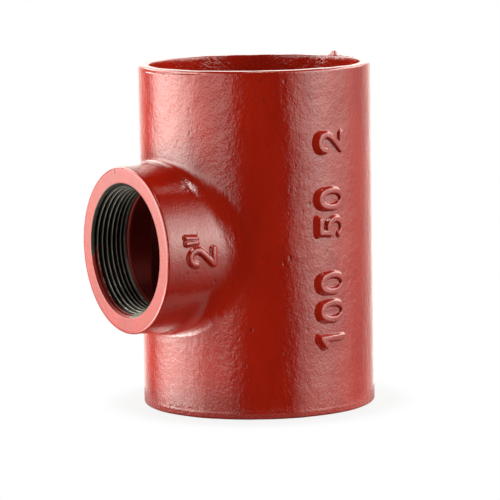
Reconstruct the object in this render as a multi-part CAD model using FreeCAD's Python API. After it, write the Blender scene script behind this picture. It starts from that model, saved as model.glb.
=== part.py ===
"""Cast iron soil pipe with a side boss that is tapped for a two inch parallel pipe thread.

Millimetres. +Z runs up the pipe's axis and -Y points out of the boss's mouth. The origin is the
centre of the pipe's lower end, on the pipe's axis.
"""
import FreeCAD, Part
import math
import os

# Pipe
PIPE_OUTER_DIAMETER = 110.0
PIPE_WALL = 5.0
PIPE_LENGTH = 161.5
END_OUTER_BEVEL = 1.2

# Boss, measured from the pipe's axis and lower end
BOSS_AXIS_HEIGHT = 78.0
BOSS_MOUTH_REACH = 72.9
BOSS_RIM_DIAMETER = 78.2
BOSS_DRAFT_DEGREES = 3.0
BOSS_RIM_BEVEL = 0.8
BOSS_ROOT_FILLET = 5.0

# Tapped hole: a two inch parallel thread of 11 turns to the inch, here bored to its minor diameter
THREAD_MINOR_DIAMETER = 56.656
TAPPED_DEPTH = 18.0
MOUTH_CHAMFER_DIAMETER = 62.9
MOUTH_CHAMFER_DEGREES = 45.0

# Cored waterway behind the tapped hole, left as cast
WATERWAY_DIAMETER = 55.0
WATERWAY_EDGE_ROUNDING = 2.0

PIPE_RADIUS = PIPE_OUTER_DIAMETER / 2
PIPE_BORE_RADIUS = PIPE_RADIUS - PIPE_WALL
UP = FreeCAD.Vector(0, 0, 1)
PIPE_BASE = FreeCAD.Vector(0, 0, 0)
BOSS_CENTRE = FreeCAD.Vector(0, 0, BOSS_AXIS_HEIGHT)
BOSS_OUTWARD = FreeCAD.Vector(0, -1, 0)


def turned_about_boss_axis(profile):
    """Turn a closed profile of (distance from the pipe's axis, radius) points about the boss's axis."""
    points = [FreeCAD.Vector(radius, -reach, BOSS_AXIS_HEIGHT) for reach, radius in profile]
    outline = Part.makePolygon(points + points[:1])
    return Part.Face(outline).revolve(BOSS_CENTRE, BOSS_OUTWARD, 360)


def circles_of(shape, radius, place):
    """The circular edges of one radius whose centre is at one place."""
    found = []
    for edge in shape.Edges:
        curve = edge.Curve
        if isinstance(curve, Part.Circle) and abs(curve.Radius - radius) < 1e-6:
            if (curve.Center - place).Length < 1e-6:
                found.append(edge)
    return found


def saddle_edges(shape, radius):
    """The edges that lie on the pipe's cylinder of one radius and curve around the boss's axis."""
    found = []
    for edge in shape.Edges:
        middle = edge.valueAt((edge.FirstParameter + edge.LastParameter) / 2)
        on_cylinder = abs(math.hypot(middle.x, middle.y) - radius) < 1e-4
        beside_boss = abs(middle.z - BOSS_AXIS_HEIGHT) < BOSS_RIM_DIAMETER and middle.y < 0
        curved = not isinstance(edge.Curve, (Part.Circle, Part.Line))
        if on_cylinder and beside_boss and curved:
            found.append(edge)
    return found


def pipe_outside():
    """The pipe's outer cylinder as a solid bar."""
    return Part.makeCylinder(PIPE_RADIUS, PIPE_LENGTH, PIPE_BASE, UP)


def boss_outside():
    """The boss as a solid cone: narrowest at its mouth, and wider towards the pipe by the draft."""
    growth = math.tan(math.radians(BOSS_DRAFT_DEGREES))
    rim_radius = BOSS_RIM_DIAMETER / 2
    root_radius = rim_radius + BOSS_MOUTH_REACH * growth
    return turned_about_boss_axis([
        (0, 0),
        (BOSS_MOUTH_REACH, 0),
        (BOSS_MOUTH_REACH, rim_radius),
        (0, root_radius),
    ])


def body_outside():
    """Pipe and boss in one, with the cast fillet around the boss's root and a bevel on the boss's rim."""
    body = pipe_outside().fuse(boss_outside())
    body = body.makeFillet(BOSS_ROOT_FILLET, saddle_edges(body, PIPE_RADIUS))
    mouth_centre = BOSS_CENTRE + BOSS_OUTWARD * BOSS_MOUTH_REACH
    return body.makeChamfer(BOSS_RIM_BEVEL, circles_of(body, BOSS_RIM_DIAMETER / 2, mouth_centre))


def pipe_bore():
    """What is taken out along the pipe."""
    return Part.makeCylinder(PIPE_BORE_RADIUS, PIPE_LENGTH, PIPE_BASE, UP)


def waterway():
    """What is taken out between the pipe's bore and the tapped hole."""
    return Part.makeCylinder(WATERWAY_DIAMETER / 2, BOSS_MOUTH_REACH, BOSS_CENTRE, BOSS_OUTWARD)


def tapped_hole():
    """What is bored out of the boss before tapping, with the chamfer at its mouth."""
    hole_radius = THREAD_MINOR_DIAMETER / 2
    mouth_radius = MOUTH_CHAMFER_DIAMETER / 2
    chamfer_depth = (mouth_radius - hole_radius) / math.tan(math.radians(MOUTH_CHAMFER_DEGREES))
    bottom = BOSS_MOUTH_REACH - TAPPED_DEPTH
    return turned_about_boss_axis([
        (bottom, 0),
        (BOSS_MOUTH_REACH, 0),
        (BOSS_MOUTH_REACH, mouth_radius),
        (BOSS_MOUTH_REACH - chamfer_depth, hole_radius),
        (bottom, hole_radius),
    ])


def boss_pipe():
    """The whole casting."""
    body = body_outside()
    body = body.cut(pipe_bore())
    body = body.cut(waterway())
    body = body.makeFillet(WATERWAY_EDGE_ROUNDING, saddle_edges(body, PIPE_BORE_RADIUS))
    body = body.cut(tapped_hole())
    top_centre = PIPE_BASE + UP * PIPE_LENGTH
    for centre in (PIPE_BASE, top_centre):
        body = body.makeChamfer(END_OUTER_BEVEL, circles_of(body, PIPE_RADIUS, centre))
    return body


def check_solid(shape):
    """Stop if the casting isn't one sound solid."""
    if not shape.isValid() or len(shape.Solids) != 1:
        raise ValueError("the casting is not one valid solid")


casting = boss_pipe()
check_solid(casting)
os.makedirs("parts", exist_ok=True)
casting.Solids[0].exportStep("parts/boss_pipe.step")
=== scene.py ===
"""Dresses the solid of a cast iron soil boss pipe as the painted casting that it is, and lights it.

The casting is one closed skin worked out with numpy: the pipe's wall, the boss with its rolled root
fillet, the cut thread in its mouth and the waterway behind it. The raised numbers, the size mark, a run
of paint and a small lump of metal on the rim are pieces of their own. Lengths are in metres, in the
frame of the solid.
"""

import math
from typing import NamedTuple

import bmesh
import bpy
import numpy as np
from bpy.props import FloatProperty, FloatVectorProperty, PointerProperty, StringProperty
from mathutils import Matrix, Vector


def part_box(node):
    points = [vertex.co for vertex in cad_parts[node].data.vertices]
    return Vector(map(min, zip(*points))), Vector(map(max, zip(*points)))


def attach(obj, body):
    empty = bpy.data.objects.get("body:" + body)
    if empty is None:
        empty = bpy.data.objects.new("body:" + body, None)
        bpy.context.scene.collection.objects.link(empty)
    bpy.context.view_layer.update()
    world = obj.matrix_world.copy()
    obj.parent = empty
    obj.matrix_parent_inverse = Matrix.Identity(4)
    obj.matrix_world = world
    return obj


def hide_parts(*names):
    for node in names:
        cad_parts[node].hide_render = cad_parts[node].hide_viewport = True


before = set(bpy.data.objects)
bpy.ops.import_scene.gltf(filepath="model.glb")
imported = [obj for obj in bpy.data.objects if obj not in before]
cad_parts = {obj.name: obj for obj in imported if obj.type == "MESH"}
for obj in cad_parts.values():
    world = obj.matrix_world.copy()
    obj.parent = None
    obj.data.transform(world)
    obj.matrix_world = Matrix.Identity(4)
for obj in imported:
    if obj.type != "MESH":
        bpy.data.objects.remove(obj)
bpy.context.view_layer.update()
NODE_LOW, NODE_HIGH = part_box("boss_pipe")

bl_info = {
    "name": "Soil boss pipe",
    "version": (1, 0, 0),
    "blender": (4, 5, 0),
    "location": "View3D > Sidebar > Boss pipe",
    "description": "Dresses a soil boss pipe as a painted casting in a small studio",
    "category": "Object",
}

MM = 0.001
TURN = 2 * math.pi
BODY = "root"
NODE = "boss_pipe"
FINISH = "red_paint_on_iron"

# Where the raised numbers stand and start, and the widths of the mark's two signs
WALL_BASELINE = math.radians(103.0)
WALL_START = 31.8 * MM
MARK_BASELINE = 49.4 * MM
MARK_START = 73.9 * MM
MARK_WIDTH = 7.2 * MM
INCH_START = MARK_START + 10.2 * MM
INCH_WIDTH = 3.8 * MM
# Where the lump stands on the top rim, and the part of the rim that the slipped saw marked
BURR_ANGLE = math.radians(190.0)
SAW_START = math.radians(-10.0)
SAW_END = math.radians(32.0)
# The run of paint on the boss, each end as reach and angle
RUN_START = (56.6 * MM, math.radians(54.0))
RUN_END = (54.3 * MM, math.radians(46.5))
# How deep a raised piece's lower side lies within the wall
SUNK_DEPTH = 1.2 * MM

# How finely the skin is divided
BOSS_COLUMNS = 256
WINDOW_CELLS = BOSS_COLUMNS // 4
BACK_COLUMNS = 126
ROWS_BELOW_WINDOW = 16
ROWS_ABOVE_WINDOW = 20
PATCH_ROWS = 11
FILLET_ROWS = 17
FLANK_ROWS = 15
THREAD_ROWS_PER_TURN = 10
NUMBER_CELL = 0.3 * MM
# Half of the angle and half of the height of the window around the boss
WINDOW_HALF_ANGLE = math.radians(62.5)
WINDOW_HALF_HEIGHT = 52.0 * MM
# Height of the finely divided part of the wall at each end
END_COLLAR = 3.3 * MM
# Width of the mouth's rounded edge, on the flat rim and on the chamfer
EDGE_ON_RIM = 0.25 * MM
EDGE_ON_CHAMFER = 0.35 * MM
# Reach of the root curve's handles towards its corner, and how a full pull changes it at either end
HANDLE = 0.62
PULL_AT_START = 0.13
PULL_AT_END = 0.37
# Steps that settle the rolling ball's place, and cosines that make a swell
BALL_STEPS = 20
SWELL_WAVES = 24


def length(name, description, default):
    """A property that holds a length in metres."""
    return FloatProperty(name=name, description=description, default=default, min=0.0, precision=5,
                         subtype="DISTANCE", unit="LENGTH")


def colour(name, description, default):
    """A property that holds a linear colour."""
    return FloatVectorProperty(name=name, description=description, default=default, size=3,
                               min=0.0, max=1.0, subtype="COLOR")


class CastingSizes(bpy.types.PropertyGroup):
    """Sizes of the casting: the solid's own, but for the fillets, the small roundings and the thread."""

    pipe_radius: length("Pipe radius", "Outside radius of the pipe", NODE_HIGH.x)
    pipe_length: length("Pipe length", "Height of the pipe", NODE_HIGH.z)
    pipe_wall: length("Pipe wall", "Thickness of the pipe's wall", 5.0 * MM)
    end_rounding: length("End rounding", "Rounding of the pipe's outer end edges", 1.2 * MM)
    bore_rounding: length("Bore rounding", "Rounding of the pipe's inner end edges", 0.45 * MM)
    boss_height: length("Boss height", "Height of the boss's axis", 78.0 * MM)
    boss_reach: length("Boss reach", "Reach of the boss's mouth from the pipe's axis", -NODE_LOW.y)
    rim_radius: length("Rim radius", "Radius of the boss at its mouth", 39.1 * MM)
    rim_rounding: length("Rim rounding", "Rounding of the boss's outer rim", 1.1 * MM)
    draft: FloatProperty(name="Draft", description="Taper of the boss", default=math.radians(3.0),
                         subtype="ANGLE", unit="ROTATION")
    root_fillet: length("Root fillet", "Fillet between boss and pipe above and below the boss", 2.0 * MM)
    side_fillet: length("Side fillet", "Fillet between boss and pipe at the boss's sides", 20.0 * MM)
    mouth_radius: length("Mouth radius", "Radius of the mouth's chamfer at the rim", 31.45 * MM)
    crest_radius: length("Crest radius", "Radius of the thread's crests", 28.328 * MM)
    thread_depth: length("Thread depth", "Height of the thread", 1.479 * MM)
    thread_pitch: length("Thread pitch", "Distance between turns, 11 to the inch", 2.309 * MM)
    tapped_depth: length("Tapped depth", "Depth of the tapped hole", 18.0 * MM)
    lead_depth: length("Lead depth", "Depth over which the thread widens to the mouth", 10.0 * MM)
    lead_widening: length("Lead widening", "How much wider its radius is at the mouth", 2.0 * MM)
    waterway_radius: length("Waterway radius", "Radius of the cored hole", 27.5 * MM)
    waterway_rounding: length("Waterway rounding", "Rounding of its inner edge", 2.0 * MM)


class ReliefSizes(bpy.types.PropertyGroup):
    """Sizes of the raised numbers, the run of paint and the lump on the rim."""

    wall_numbers: StringProperty(name="Wall numbers", description="Raised numbers on the pipe's wall",
                                 default="100 50 2")
    wall_width: length("Wall number width", "Width of the numbers' lines on the wall", 7.8 * MM)
    wall_height: length("Wall number height", "Height of the numbers' lines on the wall", 12.8 * MM)
    wall_pitch: length("Wall number pitch", "Distance from one number to the next", 13.1 * MM)
    wall_flat: length("Wall flat", "Width of a stroke's flat top on the wall", 2.3 * MM)
    wall_slope: length("Wall slope", "Width of a stroke's sloping side", 0.8 * MM)
    wall_top_slope: length("Wall top slope", "Width of that slope beyond the numbers' tops", 2.8 * MM)
    wall_rounding: length("Wall rounding", "Rounding of a stroke's edges on the wall", 0.16 * MM)
    wall_relief: length("Wall relief", "How far a number on the wall stands out", 1.1 * MM)
    wall_tilt: length("Wall tilt", "How much further its top stands out than its foot", 0.8 * MM)
    mark_height: length("Mark height", "Height of the size number on the boss", 12.1 * MM)
    mark_flat: length("Mark flat", "Width of a stroke's flat top on the boss", 1.9 * MM)
    mark_slope: length("Mark slope", "Width of a stroke's sloping side", 1.0 * MM)
    mark_rounding: length("Mark rounding", "Rounding of a stroke's edges on the boss", 0.35 * MM)
    mark_relief: length("Mark relief", "How far the size number stands out", 1.25 * MM)
    run_height: length("Run height", "Height of the run of paint on the boss", 0.58 * MM)
    run_width: length("Run width", "Width of that run's slope", 1.5 * MM)
    burr_height: length("Burr height", "Height of the lump of metal on the rim", 2.5 * MM)
    burr_thickness: length("Burr thickness", "Thickness of that lump across the rim", 2.8 * MM)


class FinishColours(bpy.types.PropertyGroup):
    """Colours of the paint and the iron."""

    paint: colour("Paint", "Brick red paint", (0.31, 0.0115, 0.0035))
    paint_deep: colour("Deep paint", "Paint where it lies thick", (0.265, 0.0080, 0.0025))
    # The iron colour is painted light: only the crests on the hole's lower side take it
    iron: colour("Iron", "Cut iron on the thread's crests", (0.50, 0.48, 0.43))
    # The groove colour is painted shade, near-black in the thread's grooves
    groove: colour("Groove", "Oily dirt in the thread's grooves", (0.012, 0.010, 0.008))
    # The inside colour is painted shade: the paint turns to it down inside the pipe, in the waterway and on
    # the run in the mouth
    inside: colour("Inside", "Dull coat down inside the pipe", (0.110, 0.006, 0.003))


def smoothstep(low, high, value):
    """0 below low, 1 above high, and a smooth S between them."""
    share = np.clip((value - low) / (high - low), 0, 1)
    return share * share * (3 - 2 * share)


def ripple(points, wavelength, seed):
    """Smooth random swell of about unit height: a sum of cosines of many directions and like lengths."""
    draw = np.random.default_rng(seed)
    direction = draw.normal(size=(SWELL_WAVES, 3))
    direction /= np.linalg.norm(direction, axis=1)[:, None]
    wave_number = TURN / (wavelength * draw.uniform(0.7, 1.4, SWELL_WAVES))
    shift = draw.uniform(0, TURN, SWELL_WAVES)
    phase = points.reshape(-1, 3) @ (direction * wave_number[:, None]).T + shift
    return (np.cos(phase).sum(1) * math.sqrt(2 / SWELL_WAVES)).reshape(points.shape[:-1])


def pipe_points(radius, angle, height):
    """Points about the pipe's axis: x is radius times sine of the angle, y minus radius times cosine."""
    radius, angle, height = np.broadcast_arrays(radius, angle, height)
    return np.stack([radius * np.sin(angle), -radius * np.cos(angle), height], -1)


def boss_points(size, reach, radius, angle):
    """Points about the boss's axis: x is radius times cosine, y minus reach, z adds radius times sine."""
    reach, radius, angle = np.broadcast_arrays(reach, radius, angle)
    return np.stack([radius * np.cos(angle), -reach, size.boss_height + radius * np.sin(angle)], -1)


def arm_cosine(first, last):
    """Cosine of the angle between two arms."""
    return (first * last).sum(-1) / (np.linalg.norm(first, axis=-1) * np.linalg.norm(last, axis=-1))


def arc(centre, start, end, steps):
    """Rows of points on the circle arc about each centre: the arms to its ends, blended by sines."""
    first, last = start - centre, end - centre
    angle = np.arccos(np.clip(arm_cosine(first, last), -1, 1))[..., None]
    share = np.linspace(0, 1, steps)[:, None, None]
    return centre + (np.sin((1 - share) * angle) * first + np.sin(share * angle) * last) / np.sin(angle)


def lopsided_arc(centre, start, end, pull, steps):
    """Rows of points on a cubic Bezier curve that leaves start and end along the circle's tangents. A pull
    of 0 gives nearly the circle, and a larger one bends it harder near its end than near its start."""
    first, last = start - centre, end - centre
    corner = centre + (first + last) / (1 + arm_cosine(first, last)[:, None])
    near_start = start + (HANDLE + PULL_AT_START * pull[:, None]) * (corner - start)
    near_end = end + (HANDLE - PULL_AT_END * pull[:, None]) * (corner - end)
    share = np.linspace(0, 1, steps)[:, None, None]
    rest = 1 - share
    return (rest ** 3 * start + 3 * rest ** 2 * share * near_start
            + 3 * rest * share ** 2 * near_end + share ** 3 * end)


def cone_radius(size, reach):
    """Radius of the drafted boss at a reach: it grows towards the pipe by the draft's tangent."""
    return size.rim_radius + (size.boss_reach - reach) * math.tan(size.draft)


def boss_angles():
    """Angles about the boss's axis, from 0 to one turn, with the seam's column at both ends."""
    return np.linspace(0, TURN, BOSS_COLUMNS + 1)


def wall_angles():
    """Angles of the pipe's columns: even steps over the window, then even steps round the back."""
    front = np.linspace(-WINDOW_HALF_ANGLE, WINDOW_HALF_ANGLE, WINDOW_CELLS + 1)
    back = np.linspace(WINDOW_HALF_ANGLE, TURN - WINDOW_HALF_ANGLE, BACK_COLUMNS + 1)
    return np.concatenate([front, back[1:]])


def wall_heights(size, low, high):
    """Heights of the pipe's rows: from the lower end to the window, over the window, and on to the top."""
    bottom = size.boss_height - WINDOW_HALF_HEIGHT
    top = size.boss_height + WINDOW_HALF_HEIGHT
    below = np.linspace(low, bottom, ROWS_BELOW_WINDOW + 1)
    beside = np.linspace(bottom, top, WINDOW_CELLS + 1)
    above = np.linspace(top, high, ROWS_ABOVE_WINDOW + 1)
    return np.concatenate([below, beside[1:], above[1:]])


def wall_grid(size, radius, low, high):
    """The pipe's wall at one radius, in rows by height and columns by angle, and the cells that it keeps,
    which lie outside the window."""
    angles = wall_angles()
    heights = wall_heights(size, low, high)
    kept = np.ones((len(heights) - 1, len(angles) - 1), bool)
    kept[ROWS_BELOW_WINDOW:ROWS_BELOW_WINDOW + WINDOW_CELLS, :WINDOW_CELLS] = False
    return pipe_points(radius, angles[None], heights[:, None]), kept


def window_edge(size):
    """The window's outline as angle and height for each boss angle: a square path, stretched."""
    lap = boss_angles() * 8 / TURN
    side = np.clip(2 - np.abs((lap + 4) % 8 - 4), -1, 1)
    rise = np.clip(2 - np.abs((lap + 2) % 8 - 4), -1, 1)
    return side * WINDOW_HALF_ANGLE, size.boss_height + rise * WINDOW_HALF_HEIGHT


def window_patch(size, radius, ring):
    """Rows from a ring on the pipe's wall out to the window, with angle and height blended evenly."""
    ring_angle = np.arctan2(ring[:, 0], -ring[:, 1])
    edge_angle, edge_height = window_edge(size)
    share = np.linspace(0, 1, PATCH_ROWS)[:, None]
    angle = (1 - share) * ring_angle + share * edge_angle
    height = (1 - share) * ring[:, 2] + share * edge_height
    return pipe_points(radius, angle, height)


def root_fillet(size):
    """The ball that rolls in the corner of pipe and boss touches both; the fillet runs between the touches.
    The ball grows from the boss's top and bottom to its sides with the square of the angle's cosine, and
    there the fillet bends harder beside the boss than beside the pipe."""
    angle = boss_angles()
    beside = np.cos(angle) ** 2
    ball = size.root_fillet + (size.side_fillet - size.root_fillet) * beside
    reach = np.full_like(angle, size.pipe_radius)
    for _ in range(BALL_STEPS):
        offset = cone_radius(size, reach) + ball / math.cos(size.draft)
        reach = np.sqrt((size.pipe_radius + ball) ** 2 - (offset * np.cos(angle)) ** 2)
    centre = boss_points(size, reach, offset, angle)
    on_pipe = centre.copy()
    on_pipe[:, :2] *= (size.pipe_radius / (size.pipe_radius + ball))[:, None]
    on_boss = boss_points(size, reach - ball * math.sin(size.draft),
                          offset - ball * math.cos(size.draft), angle)
    return lopsided_arc(centre, on_pipe, on_boss, beside, FILLET_ROWS)


def boss_flank(size, root):
    """The drafted cone from the fillet's edge to the rim's rounding, in even shares of reach."""
    share = np.linspace(0, 1, FLANK_ROWS)[:, None]
    end = size.boss_reach - size.rim_rounding * (1 - math.sin(size.draft))
    reach = (1 - share) * -root[:, 1] + share * end
    return boss_points(size, reach, cone_radius(size, reach), boss_angles())


def rim_rounding(size):
    """Circle arc from the cone round to the flat rim, and the flat rim in to the mouth's chamfer."""
    bend = size.rim_rounding
    centre_reach = size.boss_reach - bend
    centre_radius = cone_radius(size, centre_reach) - bend / math.cos(size.draft)
    turn = np.linspace(size.draft, TURN / 4, 7)
    reach = centre_reach + bend * np.sin(turn)
    radius = centre_radius + bend * np.cos(turn)
    inward = np.linspace(centre_radius, size.mouth_radius + EDGE_ON_RIM, 9)[1:]
    reach = np.concatenate([reach, np.full_like(inward, size.boss_reach)])
    radius = np.concatenate([radius, inward])
    return boss_points(size, reach[:, None], radius[:, None], boss_angles())


def mouth_edge(size):
    """Small rounding between the flat rim and the mouth's chamfer."""
    outward = np.array([EDGE_ON_RIM, 0.06 * MM, -0.06 * MM, -EDGE_ON_CHAMFER])[:, None]
    sink = np.array([0.0, 0.012 * MM, 0.10 * MM, EDGE_ON_CHAMFER])[:, None]
    return boss_points(size, size.boss_reach - sink, size.mouth_radius + outward, boss_angles())


def thread(size):
    """Right hand thread. Row j at angle a lies at reach bottom + pitch * (j / rows per turn + a / turn),
    held between the hole's ends, so rows follow the helix. The groove's depth is a clipped triangle of
    that phase, fading out at both ends. The first turns lie on a cone that widens to the mouth, and the
    45 degree chamfer overrides them."""
    angle = boss_angles()
    bottom = size.boss_reach - size.tapped_depth
    top = size.boss_reach - EDGE_ON_CHAMFER
    last = math.ceil((top - bottom) / size.thread_pitch * THREAD_ROWS_PER_TURN)
    row = np.arange(-THREAD_ROWS_PER_TURN, last + 1)[:, None]
    climb = size.thread_pitch * (row / THREAD_ROWS_PER_TURN + angle / TURN)
    reach = np.clip(bottom + climb, bottom, top)
    turns = (reach - bottom) / size.thread_pitch
    phase = (turns - angle / TURN) % 1
    groove = np.clip(1.1 - 1.2 * np.abs(2 * phase - 1), 0, 1)
    groove *= smoothstep(0.2, 1.5, turns)
    depth = size.boss_reach - reach
    groove *= smoothstep(0.6 * MM, 3.0 * MM, depth)
    lead = size.lead_widening * np.clip(1 - depth / size.lead_depth, 0, 1)
    radius = size.crest_radius + lead + size.thread_depth * groove
    return boss_points(size, reach, np.maximum(radius, size.mouth_radius - depth), angle)


def waterway(size):
    """Step from the tapped hole to the cored hole, its wall, and the ball rounding of its inner edge."""
    angle = boss_angles()
    ball = size.waterway_rounding
    bore = size.pipe_radius - size.pipe_wall
    bottom = size.boss_reach - size.tapped_depth
    offset = size.waterway_radius + ball
    ball_reach = np.sqrt((bore + ball) ** 2 - (offset * np.cos(angle)) ** 2)
    centre = boss_points(size, ball_reach, offset, angle)
    on_bore = centre.copy()
    on_bore[:, :2] *= bore / (bore + ball)
    on_hole = boss_points(size, ball_reach, size.waterway_radius, angle)
    step = boss_points(size, bottom, np.array([[size.crest_radius], [size.waterway_radius]]), angle)
    share = np.linspace(0, 1, 7)[:, None]
    wall = boss_points(size, (1 - share) * bottom + share * ball_reach, size.waterway_radius, angle)
    return step, wall, arc(centre, on_hole, on_bore, 6)


def pipe_end(size, at_top):
    """One end of the pipe: the wall's last rows, outer rounding, flat rim and small inner rounding."""
    outer, inner = size.end_rounding, size.bore_rounding
    bore = size.pipe_radius - size.pipe_wall
    collar = np.linspace(END_COLLAR, outer, 8)[:-1]
    out_turn = np.linspace(0, TURN / 4, 7)
    in_turn = np.linspace(TURN / 4, TURN / 2, 5)
    flat = np.linspace(size.pipe_radius - outer, bore + inner, 9)[1:-1]
    radius = np.concatenate([np.full_like(collar, size.pipe_radius),
                             size.pipe_radius - outer + outer * np.cos(out_turn), flat,
                             bore + inner + inner * np.cos(in_turn)])
    sink = np.concatenate([collar, outer - outer * np.sin(out_turn), np.zeros_like(flat),
                           inner - inner * np.sin(in_turn)])
    height = size.pipe_length - sink if at_top else sink
    return pipe_points(radius[:, None], wall_angles()[None], height[:, None])


def whole(*grids):
    """Grids that keep all their cells."""
    return [(grid, None) for grid in grids]


def skin_arrays(grids):
    """Points and quads of several point grids. Each cell of a grid that is kept becomes one quad."""
    points, quads, count = [], [], 0
    for grid, kept in grids:
        index = count + np.arange(grid.shape[0] * grid.shape[1]).reshape(grid.shape[:2])
        cells = np.stack([index[:-1, :-1], index[:-1, 1:], index[1:, 1:], index[1:, :-1]], -1)
        quads.append(cells.reshape(-1, 4) if kept is None else cells[kept])
        points.append(grid.reshape(-1, 3))
        count += index.size
    return np.concatenate(points), np.concatenate(quads)


def closed_mesh(name, grids):
    """One mesh of several grids, with their shared edges merged and every face turned outwards."""
    points, quads = skin_arrays(grids)
    mesh = bpy.data.meshes.new(name)
    mesh.from_pydata(points.tolist(), [], quads.tolist())
    work = bmesh.new()
    work.from_mesh(mesh)
    bmesh.ops.remove_doubles(work, verts=work.verts, dist=0.002 * MM)
    loose = [v for v in work.verts if not v.link_faces]
    bmesh.ops.delete(work, geom=loose, context="VERTS")
    bmesh.ops.recalc_face_normals(work, faces=work.faces)
    work.to_mesh(mesh)
    work.free()
    mesh.shade_smooth()
    return mesh


def bow(centre, radii, start, end, steps):
    """Points on an ellipse from one angle to another, in degrees."""
    angle = np.radians(np.linspace(start, end, steps))
    return np.stack([centre[0] + radii[0] * np.cos(angle), centre[1] + radii[1] * np.sin(angle)], -1)


def digit_paths(digit):
    """The strokes of one number in a box one unit wide and one unit high, each a row of points."""
    line = np.array
    return {
        "0": [bow((0.5, 0.5), (0.5, 0.5), 0, 360, 36)],
        "1": [line([(0.16, 0.80), (0.56, 1.0), (0.56, 0.0)])],
        "2": [np.concatenate([bow((0.5, 0.70), (0.46, 0.30), 172, -22, 22),
                              line([(0.72, 0.42), (0.06, 0.02)])]),
              line([(0.06, 0.0), (0.98, 0.0)])],
        "5": [np.concatenate([line([(0.92, 1.0), (0.20, 1.0), (0.13, 0.57)]),
                              bow((0.46, 0.33), (0.50, 0.33), 125, -148, 26)])],
        '"': [line([(0.12, 0.62), (0.05, 1.0)]), line([(0.62, 0.62), (0.72, 1.0)])],
        " ": [],
    }[digit]


def nearest_on_paths(points, paths):
    """The place on any path nearest to each point, chosen from the nearest on each straight part."""
    start = np.concatenate([path[:-1] for path in paths])
    part = np.concatenate([path[1:] - path[:-1] for path in paths])
    arm = points[:, None] - start
    share = np.clip((arm * part).sum(-1) / (part * part).sum(-1), 0, 1)
    place = start + share[..., None] * part
    nearest = np.linalg.norm(points[:, None] - place, axis=-1).argmin(1)
    return place[np.arange(len(points)), nearest]


class Stroke(NamedTuple):
    """The section of a raised stroke: a flat top with sloping sides, in metres."""

    flat: float
    slope: float
    top_slope: float
    rounding: float
    relief: float
    tilt: float


def raised_stroke(along, across, paths, stroke):
    """Height of cast numbers: the relief plus a tilt that grows towards their tops. It falls evenly over
    the slope, which is wider above their tops, and two square roots round both bends."""
    points = np.stack([along.ravel(), across.ravel()], -1)
    place = nearest_on_paths(points, paths)
    distance = np.linalg.norm(points - place, axis=-1).reshape(along.shape)
    foot = place[:, 1].reshape(along.shape)
    top = max(path[:, 1].max() for path in paths)
    tallness = stroke.relief + stroke.tilt * np.clip(across / top, 0, 1)
    above = smoothstep(0.0, 0.9, (across - foot) / np.maximum(distance, 0.1 * MM))
    above = above * smoothstep(0.5, 0.8, foot / top)
    slope = stroke.slope + (stroke.top_slope - stroke.slope) * above
    past = distance - stroke.flat / 2
    fall = np.hypot(past, stroke.rounding) - np.hypot(past - slope, stroke.rounding)
    return tallness * (0.5 - 0.5 * fall / slope)


def number_shell(paths, stroke, surface):
    """A closed shell for one number. Its upper side is the skin plus the number's height, less a hair, so
    that only the number shows. surface(along, across, height) gives points."""
    margin, hair = stroke.flat / 2 + stroke.slope + 0.6 * MM, 0.10 * MM
    corner = np.concatenate(paths)
    low, high = corner.min(0) - margin, corner.max(0) + margin
    high[1] += stroke.top_slope - stroke.slope
    steps = np.ceil((high - low) / NUMBER_CELL).astype(int) + 1
    across, along = np.meshgrid(np.linspace(low[1], high[1], steps[1]),
                                np.linspace(low[0], high[0], steps[0]))
    height = raised_stroke(along, across, paths, stroke) - hair
    return sunk_shell(surface(along, across, height), surface(along, across, -SUNK_DEPTH))


def sunk_shell(upper, lower):
    """Grids of a closed shell: its upper side, its lower side within the wall, and the edges between."""
    return whole(upper, lower, np.stack([upper[0], lower[0]]), np.stack([upper[-1], lower[-1]]),
                 np.stack([upper[:, 0], lower[:, 0]]), np.stack([upper[:, -1], lower[:, -1]]))


def number_grids(text, start, pitch, box, stroke, surface):
    """Shells for a row of numbers, one pitch apart. Box units become metres here."""
    grids = []
    for place, digit in enumerate(text):
        paths = [path * box + (start + place * pitch, 0.0) for path in digit_paths(digit)]
        if paths:
            grids += number_shell(paths, stroke, surface)
    return grids


def paint_run(size, height, width):
    """A thick run of paint across the boss. Its crest is a straight line in reach and arc. Towards the
    mouth it slopes down evenly over its width, on the other side it falls in a short smooth step, and
    its height fades at its ends with the root of a sine."""
    first, last = RUN_START, RUN_END
    radius = cone_radius(size, (first[0] + last[0]) / 2)
    arm = np.array([last[0] - first[0], (last[1] - first[1]) * radius])
    share = np.linspace(0, 1, 45)[:, None]
    across = np.linspace(-0.6, 1.1, 24)[None] * width
    aside = across / np.linalg.norm(arm) * (1 + 0.25 * np.sin(4 * share))
    reach = first[0] + share * arm[0] - aside * arm[1]
    angle = first[1] + (share * arm[1] + aside * arm[0]) / radius
    slope = smoothstep(-0.45, 0.05, across / width) * np.clip(1 - across / width, 0, 1)
    rise = height * slope * np.sin(np.pi * share) ** 0.5 - 0.03 * MM
    cone = cone_radius(size, reach)
    skin = as_cast_swell(boss_points(size, reach, cone, angle))
    return sunk_shell(boss_points(size, reach, cone + skin + rise, angle),
                      boss_points(size, reach, cone - SUNK_DEPTH, angle))


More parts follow.
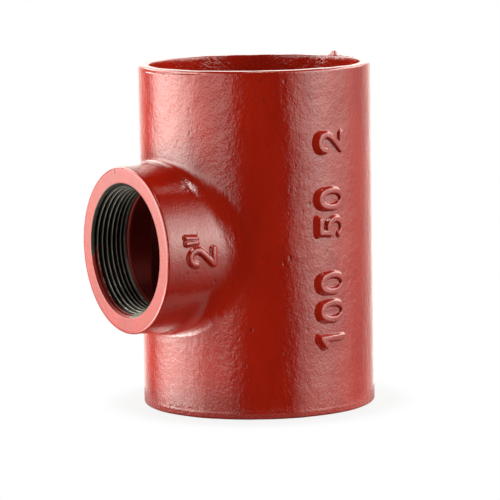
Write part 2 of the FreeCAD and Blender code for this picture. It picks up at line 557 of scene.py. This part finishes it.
def rim_ridge(size, height, thickness):
    """A ridge of metal on the top rim, as rings of a tube along it. Its height is a slow smooth step up to
    the lump times a fast one down, plus low waves, which are rectified cosines."""
    rings = 105
    along = np.linspace(-9.0, 17.0, rings)[:, None] * MM
    lap = np.linspace(0, TURN, 25)[None]
    tooth = smoothstep(-4.2 * MM, -0.6 * MM, along) * (1 - smoothstep(0.9 * MM, 1.9 * MM, along))
    waves = 0.16 + 0.22 * np.clip(np.cos(along / (0.95 * MM) + 1.2), 0, 1)
    waves = waves * smoothstep(1 * MM, 3 * MM, along)
    taper = np.sin(np.linspace(0, TURN / 2, rings))[:, None] ** 0.4
    rise = (height * tooth + MM * waves + 0.10 * MM) * taper
    across = thickness / 2 * taper * (1 - 0.25 * tooth) * np.cos(lap)
    level = np.where(np.sin(lap) > 0, rise * np.sin(lap), 0.8 * MM * taper * np.sin(lap))
    radius = size.pipe_radius - size.pipe_wall / 2 + across
    return pipe_points(radius, BURR_ANGLE - along / size.pipe_radius, size.pipe_length + level)


def vertex_values(mesh, field):
    """One field of a mesh's points as an array of three columns."""
    values = np.zeros(len(mesh.vertices) * 3, np.float32)
    mesh.vertices.foreach_get(field, values)
    return values.reshape(-1, 3).astype(float)


def as_cast_swell(points):
    """Unevenness of the cast skin in metres: long swells, shorter ripples, and grain drawn out upwards."""
    return MM * (0.03 * ripple(points, 26 * MM, 3) + 0.016 * ripple(points, 11 * MM, 5)
                 + 0.012 * ripple(points * (1, 1, 0.55), 5.5 * MM, 7))


def cast_share(size, points):
    """1 on the cast skin, 0 on the machined mouth and thread."""
    reach = -points[:, 1]
    about_boss = np.hypot(points[:, 0], points[:, 2] - size.boss_height)
    machined = smoothstep(size.boss_reach - 2.5 * MM, size.boss_reach - 0.5 * MM, reach)
    in_hole = reach > size.boss_reach - size.tapped_depth - 0.5 * MM
    tapped = (about_boss < size.mouth_radius + MM) & in_hole
    return (1 - 0.9 * machined) * np.where(tapped, 0, 1)


def saw_groove(size, points):
    """Depth of the cut that a slipped saw left just under the top rim: a bell curve about a line that
    climbs as the angle grows, times smooth steps in angle."""
    angle = np.arctan2(points[:, 0], -points[:, 1])
    share = (angle - SAW_START) / (SAW_END - SAW_START)
    line = size.pipe_length - MM * (1.75 - 0.75 * share)
    beside = (points[:, 2] - line) / (0.36 * MM)
    outside = np.hypot(points[:, 0], points[:, 1]) > size.pipe_radius - 0.7 * size.end_rounding
    depth = 0.85 * np.exp(-beside ** 2) * smoothstep(-0.12, 0.12, share)
    depth *= 1 - smoothstep(0.75, 1.1, share)
    return MM * depth * outside


def rough_casting(mesh, size):
    """Moves each point along its normal by the skin's unevenness, cuts the saw's groove, and makes the
    sawn top rim a little wavy."""
    points = vertex_values(mesh, "co")
    normals = vertex_values(mesh, "normal")
    moved = points + normals * (as_cast_swell(points) * cast_share(size, points))[:, None]
    moved[:, :2] *= 1 - saw_groove(size, points)[:, None] / size.pipe_radius
    near_top = smoothstep(size.pipe_length - 3 * MM, size.pipe_length, points[:, 2])
    moved[:, 2] += near_top * MM * 0.05 * ripple(points, 17 * MM, 11)
    mesh.vertices.foreach_set("co", moved.astype(np.float32).ravel())
    mesh.update()


class Value:
    """A node's socket. Arithmetic on it adds Math nodes and gives the result's socket."""

    def __init__(self, nodes, socket):
        self.nodes = nodes
        self.socket = socket

    def math(self, operation, *others, clamp=False):
        """A Math node on this socket and others."""
        return self.nodes.math(operation, self, *others, clamp=clamp)

    def __add__(self, other):
        return self.math("ADD", other)

    def __sub__(self, other):
        return self.math("SUBTRACT", other)

    def __mul__(self, other):
        return self.math("MULTIPLY", other)

    def __truediv__(self, other):
        return self.math("DIVIDE", other)

    def __radd__(self, other):
        return self.nodes.math("ADD", other, self)

    def __rsub__(self, other):
        return self.nodes.math("SUBTRACT", other, self)

    def step(self, low, high):
        """0 at low, 1 at high, and a smooth S between them. low may be above high."""
        inputs = {"Value": self, "From Min": low, "From Max": high}
        return self.nodes.add("ShaderNodeMapRange", {"interpolation_type": "SMOOTHSTEP"}, inputs)

    def clamped(self):
        """Held between 0 and 1."""
        return self.math("ADD", 0.0, clamp=True)


class Nodes:
    """Writes the nodes of one material or world."""

    def __init__(self, tree):
        self.tree = tree
        tree.nodes.clear()

    def add(self, kind, settings=None, inputs=None, output=0):
        """One node, from its settings and its sockets' values or links. Gives one output as a Value."""
        node = self.tree.nodes.new(kind)
        for name, value in (settings or {}).items():
            if name == "stops":
                self.set_stops(node.color_ramp, value)
            else:
                setattr(node, name, value)
        for name, value in (inputs or {}).items():
            if isinstance(value, Value):
                self.tree.links.new(value.socket, node.inputs[name])
            else:
                node.inputs[name].default_value = value
        return Value(self, node.outputs[output]) if node.outputs else None

    def set_stops(self, ramp, stops):
        """Gives a ramp its stops, each a place and a grey level."""
        ramp.elements.remove(ramp.elements[1])
        for place, level in stops:
            first = place == stops[0][0]
            element = ramp.elements[0] if first else ramp.elements.new(place)
            element.position = place
            element.color = (level, level, level, 1)

    def math(self, operation, *values, clamp=False):
        """A Math node."""
        settings = {"operation": operation, "use_clamp": clamp}
        return self.add("ShaderNodeMath", settings, dict(enumerate(values)))

    def vector_math(self, operation, *values, output=0):
        """A Vector Math node."""
        return self.add("ShaderNodeVectorMath", {"operation": operation}, dict(enumerate(values)), output)

    def mix(self, share, first, second):
        """A colour between first and second."""
        return self.add("ShaderNodeMix", {"data_type": "RGBA"}, {0: share, 6: first, 7: second}, 2)

    def noise(self, where, scale, detail=2.0, roughness=0.5):
        """Smooth noise about 0.5, scale waves to the metre."""
        inputs = {"Vector": where, "Scale": scale, "Detail": detail, "Roughness": roughness}
        return self.add("ShaderNodeTexNoise", {}, inputs)

    def voronoi(self, where, scale, feature):
        """Distance to the nearest of scattered points, or to the edge between them."""
        return self.add("ShaderNodeTexVoronoi", {"feature": feature}, {"Vector": where, "Scale": scale})

    def place(self, stretch=(1, 1, 1)):
        """Object coordinates, stretched."""
        where = self.add("ShaderNodeTexCoord", output=3)
        return self.vector_math("MULTIPLY", where, stretch)

    def axes(self):
        """Object coordinates as three values."""
        where = self.add("ShaderNodeTexCoord", output=3)
        parts = self.add("ShaderNodeSeparateXYZ", inputs={0: where})
        return [Value(self, output) for output in parts.socket.node.outputs]


def rgba(value):
    """A colour property as four numbers."""
    return (*value, 1.0)


def painted_iron(size, colours):
    """Glossy red paint over as-cast iron: orange peel drawn out downwards, small pits, a cut thread of bare
    iron in the mouth, and paint run into part of the mouth's chamfer. Painted shade darkens the thread's
    grooves, the chamfer, and the paint down inside the pipe, in the waterway and on the run; painted light
    pales the iron on the hole's lower side."""
    material = bpy.data.materials.new(FINISH)
    material.use_nodes = True
    n = Nodes(material.node_tree)
    x, y, z = n.axes()
    reach = 0.0 - y
    rise = z - size.boss_height
    about_boss = (x * x + rise * rise).math("SQRT")
    about_pipe = (x * x + y * y).math("SQRT")

    # Where the tap has cut: inside the mouth's radius and over the tapped depth
    wander = n.noise(n.place(), 260.0, 3.0) - 0.5
    in_mouth = about_boss.step(size.mouth_radius + 0.25 * MM, size.mouth_radius + 0.05 * MM)
    tap_end = size.boss_reach - size.tapped_depth
    tapped = reach.step(tap_end + 0.2 * MM, tap_end + 0.9 * MM)
    cut = in_mouth * tapped

    # Paint that ran over the chamfer and the first groove on their lower left
    sunk = size.boss_reach - reach
    run = (rise - sunk * 2.5 + wander * 0.010).step(-6.0 * MM, -9.0 * MM)
    run = run * (x + wander * 0.014).step(4.0 * MM, 0.0)
    run = run.clamped() * (sunk + wander * 0.002).step(2.9 * MM, 2.4 * MM)
    bare = (cut * (1.0 - run)).clamped()
    smear = cut * run

    # Bare iron: pale crests, paler on the hole's lower side as painted light from above; near-black grooves
    # and a dark chamfer as painted shade
    beside_cone = about_boss + sunk - size.mouth_radius
    on_chamfer = sunk.step(1.75 * MM, 1.4 * MM) * beside_cone.step(0.14 * MM, 0.05 * MM)
    lead = (1.0 - sunk / size.lead_depth).clamped() * size.lead_widening
    above_crest = about_boss - lead - size.crest_radius
    groove = (above_crest + wander * 0.0002).step(0.08 * MM, 0.38 * MM) * (1.0 - on_chamfer)
    mottle = n.noise(n.place(), 420.0, 4.0, 0.65)
    # Painted light: crests and chamfer turn paler on the hole's lower side, as if lit from above
    lit_lower_side = rise.step(size.crest_radius * 0.2, size.crest_radius * -0.9)
    crest = n.mix(lit_lower_side, (0.20, 0.19, 0.165, 1), rgba(colours.iron))
    iron = n.mix(mottle.step(0.35, 0.7), crest, (0.26, 0.245, 0.22, 1))
    # Painted shade: the thread's grooves turn near-black
    iron = n.mix(groove, iron, rgba(colours.groove))
    # Painted shade: the chamfer's bare iron is near-black, far darker than the crests
    chamfer_tone = n.mix(mottle.step(0.3, 0.75), (0.011, 0.011, 0.008, 1), (0.034, 0.032, 0.024, 1))
    chamfer_tone = n.mix(lit_lower_side * 0.5, chamfer_tone, (0.20, 0.19, 0.16, 1))
    iron = n.mix(on_chamfer, iron, chamfer_tone)

    # Paint: a little darker at random where it lies thick, and painted shade: darker down inside the pipe,
    # in the waterway past the thread and on the paint run in the mouth
    shade = n.noise(n.place((1, 1, 0.35)), 90.0, 3.0)
    paint = n.mix(shade.step(0.3, 0.75), rgba(colours.paint), rgba(colours.paint_deep))
    inside = about_pipe.step(size.pipe_radius - 0.8 * size.pipe_wall,
                             size.pipe_radius - 0.96 * size.pipe_wall)
    sparse = n.noise(n.place(), 70.0).step(0.50, 0.64) * (1.0 - inside)
    pit = n.voronoi(n.place((1, 1, 0.6)), 230.0, "F1").step(0.26, 0.05) * sparse
    paint = n.mix(pit * 0.55, paint, (0.10, 0.004, 0.003, 1))
    behind_tap = about_boss.step(size.crest_radius + 0.6 * MM, size.crest_radius) * (1.0 - tapped)
    behind_tap = behind_tap * reach.step(0.0, 10.0 * MM)
    # Painted shade: the paint turns dark brown further down inside the pipe
    painted_shade_down_pipe = inside * z.step(size.pipe_length - 8.0 * MM, size.pipe_length - 45.0 * MM)
    # Painted shade: the waterway past the thread and the paint run in the mouth darken towards the inside
    # colour, and turn metallic with it
    painted_hole_shade = behind_tap * 0.72 + smear * 0.9
    paint = n.mix((painted_shade_down_pipe + painted_hole_shade).clamped() * 0.94, paint, rgba(colours.inside))

    # Height of the surface in millimetres; the turned rim of the boss is smoother than the cast skin
    peel = n.noise(n.place((1, 1, 0.8)), 420.0)
    grain = n.noise(n.place((1, 1, 0.85)), 1150.0, 2.0, 0.55)
    streak = n.noise(n.place((1, 1, 0.45)), 210.0)
    off_boss = reach.step(size.pipe_radius - 9.0 * MM, size.pipe_radius - 16.0 * MM)
    off_boss = off_boss + about_boss.step(size.rim_radius + 2.4 * MM, size.rim_radius + 6.0 * MM)
    off_boss = off_boss.clamped()
    height = peel * (0.07 + off_boss * 0.07) + grain * 0.09 + streak * off_boss * 0.12 - pit * 0.12
    wrinkles = n.voronoi(n.place((1, 1, 1.8)), 320.0, "DISTANCE_TO_EDGE")
    patches = n.noise(n.place(), 55.0).step(0.56, 0.66)
    height = height + wrinkles.step(0.10, 0.0) * patches * inside * 0.035
    bead = z.step(1.7 * MM, 2.6 * MM) * z.step(3.9 * MM, 2.8 * MM)
    height = height + bead * (1.0 - inside) * 0.04
    on_rim = reach.step(size.boss_reach - 0.9 * MM, size.boss_reach - 0.2 * MM)
    height = height * (1.0 - cut) * (1.0 - on_rim * 0.55)
    turned = n.noise(n.place((1, 6, 1)), 900.0, 2.0, 0.6)
    height = height + bare * turned * 0.03
    bump = n.add("ShaderNodeBump", {}, {"Strength": 1.0, "Distance": MM, "Height": height})

    gloss = n.noise(n.place(), 160.0)
    dull = 0.07 + gloss * 0.07 + pit * 0.15 + (behind_tap + painted_shade_down_pipe + smear).clamped() * 0.35
    surface = n.add("ShaderNodeBsdfPrincipled", {}, {
        "Base Color": n.mix(bare, paint, iron),
        "Roughness": dull * (1.0 - bare) + bare * (0.38 + mottle * 0.2),
        "Metallic": ((bare + painted_hole_shade * (1.0 - inside)) * 0.92).clamped(),
        "Specular IOR Level": 0.78,
        "Normal": bump,
    })
    n.add("ShaderNodeOutputMaterial", {}, {"Surface": surface})
    return material


def both_sizes(context):
    """The casting's sizes, and those of what stands on it."""
    return context.scene.boss_pipe_size, context.scene.boss_pipe_relief


def add_piece(context, mesh):
    """Puts a closed mesh in the scene as a piece of painted iron that rides on the casting's body."""
    scene = context.scene
    finish = bpy.data.materials.get(FINISH)
    mesh.materials.append(finish or painted_iron(scene.boss_pipe_size, scene.boss_pipe_colours))
    piece = bpy.data.objects.new(mesh.name, mesh)
    scene.collection.objects.link(piece)
    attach(piece, BODY)
    return piece


class BOSSPIPE_OT_casting(bpy.types.Operator):
    """Make the casting's closed skin in place of the plain solid"""

    bl_idname = "bosspipe.casting"
    bl_label = "Casting"

    def execute(self, context):
        size = context.scene.boss_pipe_size
        bore = size.pipe_radius - size.pipe_wall
        root = root_fillet(size)
        step, hole, inner_edge = waterway(size)
        grids = [
            wall_grid(size, size.pipe_radius, END_COLLAR, size.pipe_length - END_COLLAR),
            *whole(window_patch(size, size.pipe_radius, root[0]), root, boss_flank(size, root[-1]),
                   rim_rounding(size), mouth_edge(size), thread(size), step, hole, inner_edge,
                   window_patch(size, bore, inner_edge[-1])),
            wall_grid(size, bore, size.bore_rounding, size.pipe_length - size.bore_rounding),
            *whole(pipe_end(size, True), pipe_end(size, False)),
        ]
        mesh = closed_mesh("casting", grids)
        rough_casting(mesh, size)
        casting = add_piece(context, mesh)
        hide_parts(NODE)
        return {"FINISHED"}


class BOSSPIPE_OT_wall_numbers(bpy.types.Operator):
    """Make the raised numbers up the pipe's wall"""

    bl_idname = "bosspipe.wall_numbers"
    bl_label = "Wall numbers"

    def execute(self, context):
        size, relief = both_sizes(context)

        def surface(along, across, height):
            """Reading runs up the wall, and the numbers' tops point towards the boss."""
            angle = WALL_BASELINE - across / size.pipe_radius
            skin = pipe_points(size.pipe_radius, angle, along)
            return pipe_points(size.pipe_radius + as_cast_swell(skin) + height, angle, along)

        box = (relief.wall_width, relief.wall_height)
        stroke = Stroke(relief.wall_flat, relief.wall_slope, relief.wall_top_slope, relief.wall_rounding,
                        relief.wall_relief, relief.wall_tilt)
        grids = number_grids(relief.wall_numbers, WALL_START, relief.wall_pitch, box, stroke, surface)
        add_piece(context, closed_mesh("raised_numbers", grids))
        return {"FINISHED"}


class BOSSPIPE_OT_size_mark(bpy.types.Operator):
    """Make the raised thread size on the boss"""

    bl_idname = "bosspipe.size_mark"
    bl_label = "Size mark"

    def execute(self, context):
        size, relief = both_sizes(context)

        def surface(along, across, height):
            """Reading runs up round the boss, and the number's top points to its mouth."""
            reach = MARK_BASELINE + across
            radius = cone_radius(size, reach)
            angle = (along - size.boss_height) / radius
            skin = boss_points(size, reach, radius, angle)
            return boss_points(size, reach, radius + as_cast_swell(skin) + height, angle)

        tall, slope = relief.mark_height, relief.mark_slope
        stroke = Stroke(relief.mark_flat, slope, slope, relief.mark_rounding, relief.mark_relief, 0.0)
        narrow = stroke._replace(flat=0.7 * relief.mark_flat)
        grids = number_grids("2", MARK_START, 0.0, (MARK_WIDTH, tall), stroke, surface)
        grids += number_grids('"', INCH_START, 0.0, (INCH_WIDTH, 1.14 * tall), narrow, surface)
        add_piece(context, closed_mesh("size_mark", grids))
        return {"FINISHED"}


class BOSSPIPE_OT_paint_run(bpy.types.Operator):
    """Make the thick run of paint on the boss"""

    bl_idname = "bosspipe.paint_run"
    bl_label = "Paint run"

    def execute(self, context):
        size, relief = both_sizes(context)
        grids = paint_run(size, relief.run_height, relief.run_width)
        add_piece(context, closed_mesh("paint_run", grids))
        return {"FINISHED"}


class BOSSPIPE_OT_rim_burr(bpy.types.Operator):
    """Make the small lump of metal left on the top rim"""

    bl_idname = "bosspipe.rim_burr"
    bl_label = "Rim burr"

    def execute(self, context):
        size, relief = both_sizes(context)
        ridge = rim_ridge(size, relief.burr_height, relief.burr_thickness)
        add_piece(context, closed_mesh("rim_burr", whole(ridge)))
        return {"FINISHED"}


class BOSSPIPE_OT_studio(bpy.types.Operator):
    """Set up the floor, the soft light and the camera"""

    bl_idname = "bosspipe.studio"
    bl_label = "Studio"

    def execute(self, context):
        build_floor(context)
        build_light(context)
        build_camera(context)
        context.scene.view_settings.view_transform = "Standard"
        return {"FINISHED"}


CAMERA_AZIMUTH = math.radians(57.638)
CAMERA_RIGHT = Vector((math.cos(CAMERA_AZIMUTH), math.sin(CAMERA_AZIMUTH), 0.0))
CAMERA_BACK = Vector((0.83734, -0.53061, 0.13158))
CAMERA_ROLL = math.radians(-0.978)
CAMERA_PLACE = (1.338296, -0.852100, 0.282737)
CAMERA_LENS = 242.1
# The soft light's lobes. Each has its brightness at azimuths to the right of the camera, and the share
# of it at elevations, in degrees
LIGHT_LOBES = [
    # Large soft box on the left
    ([(-130, 0), (-121, 4), (-112, 8), (-104, 10.8), (-92, 11.5), (-83, 10.5), (-76, 9), (-68, 7),
      (-61, 4.1), (-55, 1.6), (-48, 0.3), (-40, 0)],
     [(-60, 0), (-50, 0.5), (-35, 0.9), (-22, 0.9), (-16, 0.45), (-10, 0.48), (-5, 1), (2, 1),
      (8, 0.8), (15, 0.4), (25, 0.15), (45, 0)]),
    # Its dimmer edge towards the camera
    ([(-61, 0), (-55, 1.7), (-48, 2.8), (-30, 3), (-25, 1.4), (-20, 0.4), (-15, 0)],
     [(-60, 0), (-50, 0.2), (-30, 0.35), (-20, 0.35), (-14, 0.18), (-10, 0.18), (-5, 1.1), (2, 1.1),
      (12, 0.7), (30, 0.2), (40, 0)]),
    # Tall soft box on the right
    ([(32, 0), (37, 1.1), (42, 2.2), (48, 3), (54, 3.9), (61, 4.9), (68, 5.3), (75, 4.8), (83, 3.7),
      (91, 3.4), (99, 2.8), (109, 1.7), (120, 0.9), (126, 0)],
     [(-50, 0), (-40, 0.05), (-30, 0.15), (-20, 0.35), (-10, 0.5), (-5, 1), (2, 1.3), (8, 1.6),
      (16, 1.9), (26, 1.4), (36, 1), (45, 0.45), (55, 0.08), (62, 0)]),
    # White sheet behind the object
    ([(-165, 2), (-150, 1.2), (-138, 0.5), (-125, 0), (115, 0), (130, 0.8), (150, 1.3), (165, 2.2)],
     [(-60, 0.25), (-20, 0.9), (-8, 1.2), (12, 1.4), (30, 1.1), (46, 0)]),
    # Two lamps behind, left and right, for the pipe's edges
    ([(-158, 0), (-150, 9), (-118, 9), (-106, 0)], [(12, 0), (20, 1), (45, 1), (58, 0)]),
    ([(82, 0), (94, 9), (140, 9), (152, 0)], [(12, 0), (20, 1), (38, 1), (46, 0)]),
    # Light thrown up from below, beside the table
    ([(-106, 0), (-95, 11), (-72, 11), (-50, 3), (-30, 0), (84, 0), (95, 1.5), (140, 1.5), (150, 0)],
     [(-38, 0), (-31, 1), (-18, 1), (-15, 0)]),
    # High band on the left, and a small lamp overhead that the run of paint reflects
    ([(-118, 0), (-100, 4.8), (-60, 4.2), (-30, 0)], [(5, 0), (12, 1), (22, 1), (32, 0)]),
    ([(-20, 0), (-5, 13), (22, 13), (37, 0)], [(60, 0), (65, 1), (78, 1), (83, 0)]),
]
# A ramp ends at 1, so brightness is divided by this before it and multiplied after it
STRONGEST = 20.0
LIGHT_LEVEL = 0.64
DARK_LEVEL = 0.012
LIGHT_TINT = (1.0, 0.975, 0.91, 1.0)
WHITE = (1, 1, 1, 1)
# The share of plain white in what the camera sees of the table, and the radii that it grows to 1 over
TABLE_WHITE = 0.86
TABLE_FADE = (60.0 * MM, 80.0 * MM)


def build_floor(context):
    """A small round pale table top, a hair under the pipe: rings about its axis, with a rounded edge."""
    radius = np.array([0.0, 40.0, 66.0, 74.0, 77.0, 78.0, 77.0, 74.0, 0.0]) * MM
    height = np.array([0.0, 0.0, 0.0, 0.0, -0.6, -2.0, -3.4, -4.0, -4.0]) * MM - 0.2 * MM
    angle = np.linspace(0, TURN, 97)
    mesh = closed_mesh("table", whole(pipe_points(radius[:, None], angle[None], height[:, None])))
    material = bpy.data.materials.new("pale_table")
    material.use_nodes = True
    n = Nodes(material.node_tree)
    tone = n.mix(n.noise(n.place(), 30.0), (0.36, 0.36, 0.36, 1), (0.38, 0.38, 0.38, 1))
    lit = n.add("ShaderNodeBsdfPrincipled", {}, {"Base Color": tone, "Roughness": 0.5})
    white = n.add("ShaderNodeEmission", {}, {"Color": WHITE, "Strength": 1.0})
    camera_ray = n.add("ShaderNodeLightPath", output=0)
    x, y, _ = n.axes()
    outer_part = (x * x + y * y).math("SQRT").step(*TABLE_FADE)
    share = camera_ray * (TABLE_WHITE + outer_part * (1.0 - TABLE_WHITE))
    mixed = n.add("ShaderNodeMixShader", {}, {0: share, 1: lit, 2: white})
    n.add("ShaderNodeOutputMaterial", {}, {"Surface": mixed})
    mesh.materials.append(material)
    table = bpy.data.objects.new("table", mesh)
    context.scene.collection.objects.link(table)


def build_light(context):
    """The room's soft light by direction: a sum of lobes, each the product of its two ramps, over a dark
    room. Camera rays see plain white."""
    world = bpy.data.worlds.new("studio")
    world.use_nodes = True
    context.scene.world = world
    n = Nodes(world.node_tree)
    direction = n.add("ShaderNodeTexCoord", output=0)
    axes = [CAMERA_RIGHT, (CAMERA_RIGHT.y, -CAMERA_RIGHT.x, 0.0), (0.0, 0.0, 1.0)]
    across, along, up = [n.vector_math("DOT_PRODUCT", direction, axis, output=1) for axis in axes]
    azimuth = n.math("ARCTAN2", across, along) / TURN + 0.5
    elevation = up.math("ARCSINE") / math.pi + 0.5

    def level(where, stops, turn):
        """Brightness along one angle, by straight lines between its stops."""
        places = [(degrees / turn + 0.5, value / STRONGEST) for degrees, value in stops]
        return n.add("ShaderNodeValToRGB", {"stops": places}, {0: where}) * STRONGEST

    light = 0.0
    for around, upwards in LIGHT_LOBES:
        light = light + level(azimuth, around, 360) * level(elevation, upwards, 180)
    light = light * LIGHT_LEVEL + DARK_LEVEL
    camera_ray = n.add("ShaderNodeLightPath", output=0)
    strength = light * (1.0 - camera_ray) + camera_ray
    tint = n.mix(camera_ray, LIGHT_TINT, WHITE)
    glow = n.add("ShaderNodeBackground", {}, {"Color": tint, "Strength": strength})
    n.add("ShaderNodeOutputWorld", {}, {"Surface": glow})


def build_camera(context):
    """The camera at the photograph's place, turned a little about its own line of sight."""
    data = bpy.data.cameras.new("camera")
    data.sensor_width = 36.0
    data.lens = CAMERA_LENS
    data.clip_start, data.clip_end = 0.1, 20.0
    camera = bpy.data.objects.new("camera", data)
    context.scene.collection.objects.link(camera)
    back = CAMERA_BACK.normalized()
    up = back.cross(CAMERA_RIGHT)
    turned_right = CAMERA_RIGHT * math.cos(CAMERA_ROLL) + up * math.sin(CAMERA_ROLL)
    turned_up = up * math.cos(CAMERA_ROLL) - CAMERA_RIGHT * math.sin(CAMERA_ROLL)
    turn = Matrix((turned_right, turned_up, back)).transposed()
    camera.matrix_world = Matrix.Translation(CAMERA_PLACE) @ turn.to_4x4()
    context.scene.camera = camera


class BOSSPIPE_PT_panel(bpy.types.Panel):
    """Lists the steps that make the boss pipe, and its settings"""

    bl_idname = "BOSSPIPE_PT_panel"
    bl_label = "Boss pipe"
    bl_space_type = "VIEW_3D"
    bl_region_type = "UI"
    bl_category = "Boss pipe"

    def draw(self, context):
        column = self.layout.column()
        for step in STEPS:
            column.operator(step.bl_idname)
        for group in GROUPS:
            settings = getattr(context.scene, group)
            for name in settings.__annotations__:
                column.prop(settings, name)


STEPS = [BOSSPIPE_OT_casting, BOSSPIPE_OT_wall_numbers, BOSSPIPE_OT_size_mark, BOSSPIPE_OT_paint_run,
         BOSSPIPE_OT_rim_burr, BOSSPIPE_OT_studio]
GROUPS = {"boss_pipe_size": CastingSizes, "boss_pipe_relief": ReliefSizes,
          "boss_pipe_colours": FinishColours}
CLASSES = [*GROUPS.values(), *STEPS, BOSSPIPE_PT_panel]


def register():
    for entry in CLASSES:
        bpy.utils.register_class(entry)
    for name, group in GROUPS.items():
        setattr(bpy.types.Scene, name, PointerProperty(type=group))


def unregister():
    for name in GROUPS:
        delattr(bpy.types.Scene, name)
    for entry in reversed(CLASSES):
        bpy.utils.unregister_class(entry)


def main():
    register()
    bpy.ops.bosspipe.casting()
    bpy.ops.bosspipe.wall_numbers()
    bpy.ops.bosspipe.size_mark()
    bpy.ops.bosspipe.paint_run()
    bpy.ops.bosspipe.rim_burr()
    bpy.ops.bosspipe.studio()


if __name__ == "__main__":
    main()
